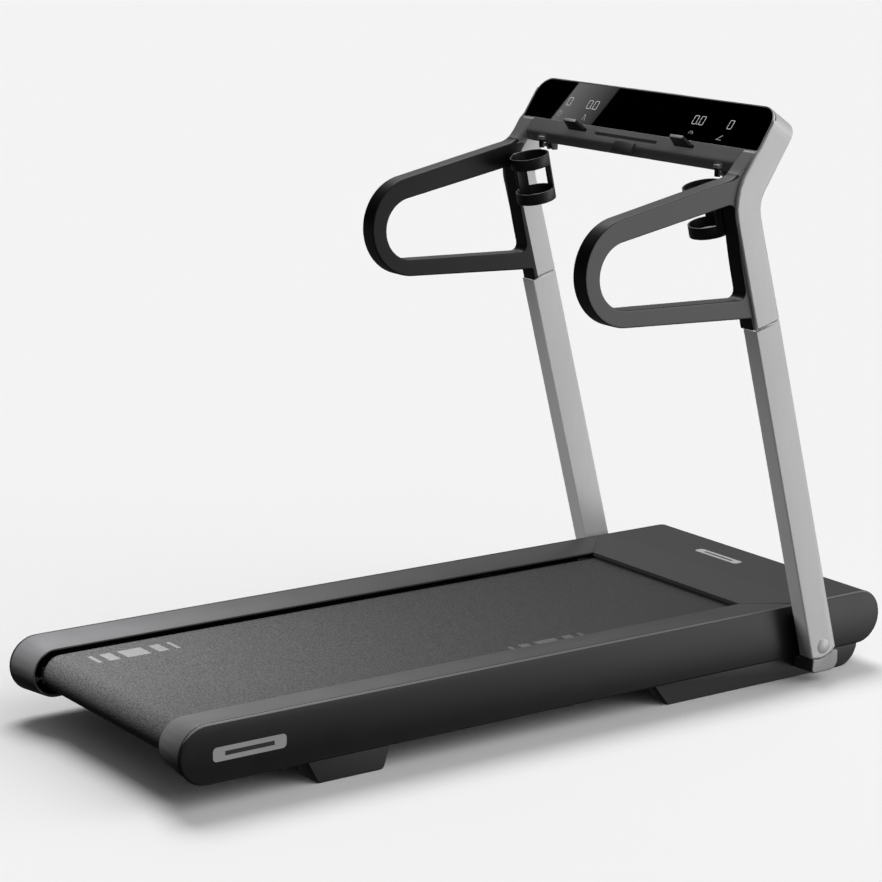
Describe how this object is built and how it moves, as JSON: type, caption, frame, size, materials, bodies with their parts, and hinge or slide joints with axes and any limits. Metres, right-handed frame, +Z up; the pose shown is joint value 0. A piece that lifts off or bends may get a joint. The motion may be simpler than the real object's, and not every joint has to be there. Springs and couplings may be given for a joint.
{
  "type": "treadmill",
  "caption": "Home treadmill with a slim deck, leaning uprights, loop handles, stacked cup rings, a tilted glass console and a powered incline frame.",
  "frame": {"origin": "on the floor, under the middle of the deck", "axes": "+X towards the runner's right, +Y from the rear of the deck towards the motor end, +Z up"},
  "size_m": [0.7854, 1.765, 1.2343],
  "materials": {
    "charcoal": "satin charcoal",
    "hood": "satin charcoal",
    "rail": "fine matte grey",
    "silver": "satin silver",
    "grip": "soft-touch grey",
    "black": "matt black",
    "glass": "black glass panel",
    "belt": "fine-grained",
    "board": "waxed",
    "roller": "turned",
    "steel": "turned",
    "frame": "black powder coat",
    "rubber": "matt black",
    "circuit": "lacquered"
  },
  "bodies": {
    "deck": {"side_panel_right": "charcoal", "side_panel_left": "charcoal", "foot_rail_right": "rail", "foot_rail_left": "rail", "motor_hood": "hood", "belly_pan": "black", "frame_rail_right": "frame", "frame_rail_left": "frame", "cross_member_rear": "frame", "cross_member_middle": "frame", "cross_member_front": "frame", "running_belt": "belt", "running_board": "board", "board_cushion_right": "rubber", "board_cushion_left": "rubber", "rear_roller_axle": "steel", "tension_bolt_right": "steel", "tension_bolt_left": "steel", "drive_motor": "frame", "motor_cradle": "frame", "drive_belt": "rubber", "control_board": "circuit", "power_panel": "black", "rear_foot_right": "black", "rear_foot_left": "black", "upright_tube_right": "silver", "upright_tube_left": "silver", "upright_shoe_right": "silver", "upright_shoe_left": "silver", "upright_bolt_right": "silver", "upright_bolt_left": "silver", "upright_head_right": "silver", "upright_head_left": "silver", "handle_right": "grip", "handle_left": "grip", "console_shell": "silver", "console_ledge": "grip", "display_glass": "glass", "display_board": "circuit", "lever_mount_right": "black", "lever_mount_left": "black", "cup_holder_right": "black", "cup_holder_left": "black"},
    "lift_frame": {"lift_arm_right": "hood", "lift_arm_left": "hood", "lift_tube": "frame"},
    "lift_wheel_right": {"lift_wheel_right": "rubber"},
    "lift_wheel_left": {"lift_wheel_left": "rubber"},
    "lift_actuator": {"lift_actuator": "frame"},
    "lift_screw": {"lift_screw": "steel"},
    "front_roller": {"front_roller": "roller"},
    "rear_roller": {"rear_roller": "roller"},
    "motor_rotor": {"motor_rotor": "roller"},
    "tablet_rest_right": {"tablet_rest_right": "black"},
    "tablet_rest_left": {"tablet_rest_left": "black"},
    "speed_lever": {"speed_lever": "black"},
    "incline_lever": {"incline_lever": "black"},
    "stop_key": {"stop_key": "grip"},
    "power_switch": {"power_switch": "black"}
  },
  "joints": [
    {"name": "lift_hinge", "type": "hinge", "parent": "deck", "child": "lift_frame", "pos_m": [0, 0.3, 0.036], "axis": [-1, 0, 0], "range_deg": [0, 20]},
    {"name": "lift_wheel_right_spin", "type": "hinge", "parent": "lift_frame", "child": "lift_wheel_right", "pos_m": [0.279, 0.762, 0.024], "axis": [1, 0, 0], "continuous": true},
    {"name": "lift_wheel_left_spin", "type": "hinge", "parent": "lift_frame", "child": "lift_wheel_left", "pos_m": [-0.279, 0.762, 0.024], "axis": [1, 0, 0], "continuous": true},
    {"name": "lift_actuator_swivel", "type": "hinge", "parent": "deck", "child": "lift_actuator", "pos_m": [-0.308, 0.03, 0.104], "axis": [-1, 0, 0], "range_deg": [0, 1.05]},
    {"name": "lift_screw_slide", "type": "slide", "parent": "lift_actuator", "child": "lift_screw", "axis": [0, 0.9996, 0.0296], "range_m": [0, 0.0262]},
    {"name": "front_roller_spin", "type": "hinge", "parent": "deck", "child": "front_roller", "pos_m": [0, 0.585, 0.107], "axis": [1, 0, 0], "continuous": true},
    {"name": "rear_roller_spin", "type": "hinge", "parent": "deck", "child": "rear_roller", "pos_m": [0, -0.815, 0.107], "axis": [1, 0, 0], "continuous": true},
    {"name": "motor_rotor_spin", "type": "hinge", "parent": "deck", "child": "motor_rotor", "pos_m": [0, 0.735, 0.104], "axis": [1, 0, 0], "continuous": true},
    {"name": "tablet_rest_right_fold", "type": "hinge", "parent": "deck", "child": "tablet_rest_right", "pos_m": [0.1765, 0.41646, 1.14223], "axis": [-1, 0, 0], "range_deg": [0, 76]},
    {"name": "tablet_rest_left_fold", "type": "hinge", "parent": "deck", "child": "tablet_rest_left", "pos_m": [-0.1765, 0.41646, 1.14223], "axis": [-1, 0, 0], "range_deg": [0, 76]},
    {"name": "speed_lever_tilt", "type": "hinge", "parent": "deck", "child": "speed_lever", "pos_m": [0.2915, 0.44, 1.091], "axis": [1, 0, 0], "range_deg": [-4, 4], "stiffness_Nm_per_rad": 0.6},
    {"name": "incline_lever_tilt", "type": "hinge", "parent": "deck", "child": "incline_lever", "pos_m": [-0.2915, 0.44, 1.091], "axis": [1, 0, 0], "range_deg": [-4, 4], "stiffness_Nm_per_rad": 0.6},
    {"name": "stop_key_pull", "type": "slide", "parent": "deck", "child": "stop_key", "axis": [0, -0.8387, 0.5446], "range_m": [0, 0.02]},
    {"name": "power_switch_rock", "type": "hinge", "parent": "deck", "child": "power_switch", "pos_m": [-0.178, 0.868, 0.1], "axis": [-1, 0, 0], "range_deg": [0, 14]}
  ],
  "couplings": [
    {"joint": "lift_actuator_swivel", "follows": "lift_hinge", "ratio": 0.052},
    {"joint": "lift_screw_slide", "follows": "lift_hinge", "m_per_rad": 0.0742},
    {"joint": "rear_roller_spin", "follows": "front_roller_spin", "ratio": 1},
    {"joint": "motor_rotor_spin", "follows": "front_roller_spin", "ratio": 2}
  ]
}
